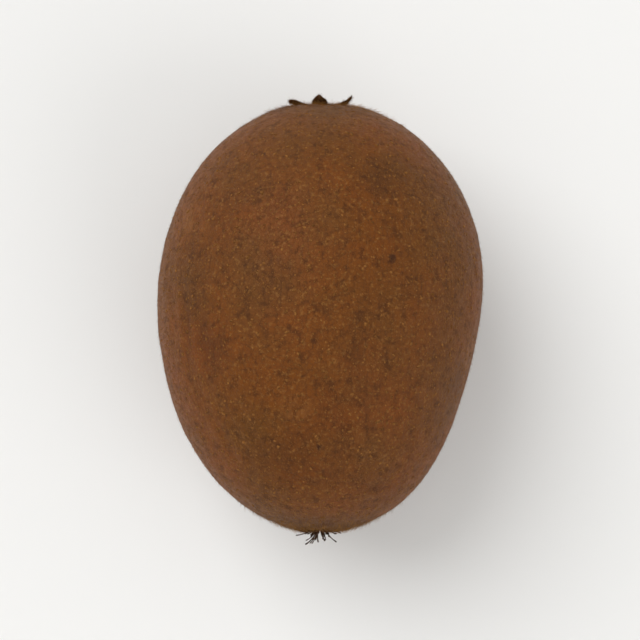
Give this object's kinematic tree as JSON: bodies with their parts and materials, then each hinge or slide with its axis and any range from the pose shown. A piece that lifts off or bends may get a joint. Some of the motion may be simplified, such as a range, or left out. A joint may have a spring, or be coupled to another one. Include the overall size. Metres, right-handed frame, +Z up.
{
  "type": "golden kiwi fruit",
  "caption": "Whole golden kiwi fruit lying on its side, with a stalk scar and withered sepals at its broad end and dried styles at its slimmer end.",
  "frame": {"origin": "on the resting surface, at the flat spot below the middle of the fruit's box", "axes": "+Y along the fruit towards its stalk end, +Z up from the flat spot it lies on, +X across it"},
  "size_m": [0.0584, 0.0807, 0.0545],
  "materials": {
    "skin": "golden-brown fruit skin, smooth with fine corky specks and a soft low sheen from short down",
    "calyx": "dry, dull, withered sepals round a paler corky stalk scar",
    "styles": "dry, dull, blackish-brown threads"
  },
  "bodies": {
    "root": {"fruit": "skin", "calyx": "calyx", "styles": "styles"}
  },
  "joints": []
}
